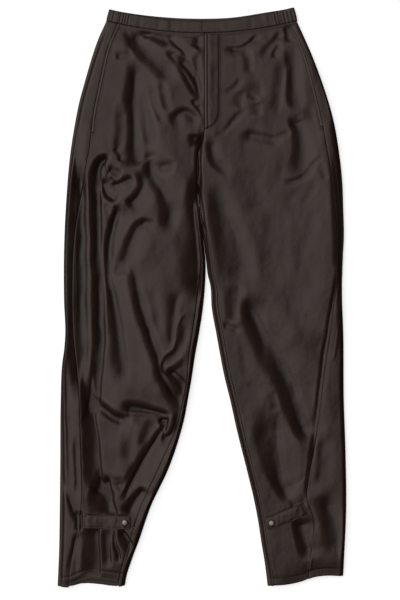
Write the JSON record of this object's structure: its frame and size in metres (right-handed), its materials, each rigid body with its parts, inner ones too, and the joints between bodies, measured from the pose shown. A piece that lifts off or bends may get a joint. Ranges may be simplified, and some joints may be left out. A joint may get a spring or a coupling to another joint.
{
  "type": "leather trousers",
  "caption": "Tapered leather trousers laid flat, with a narrow gathered waistband, concealed fly, pockets in the side seams and a snap strap at each ankle.",
  "frame": {"origin": "on the surface that the trousers lie on, under the middle of the garment", "axes": "+Y up the garment towards the waist, +X towards the wearer's left, +Z out of the surface, so the front faces +Z"},
  "size_m": [0.5201, 1.0431, 0.0193],
  "materials": {
    "nappa": "soft dark brown nappa, finely grained, with a low sheen",
    "band": "the same nappa folded double and topstitched",
    "snap": "gunmetal plating, satin"
  },
  "bodies": {
    "root": {"front_right": "nappa", "front_left": "nappa", "back_right": "nappa", "back_left": "nappa", "pocket_edge_right": "nappa", "pocket_edge_left": "nappa", "fly_placket": "nappa", "waistband_front_right": "band", "waistband_front_left": "band", "waistband_back": "band", "strap_right": "band", "strap_left": "band", "snap_cap_right": "snap", "snap_cap_left": "snap"}
  },
  "joints": []
}
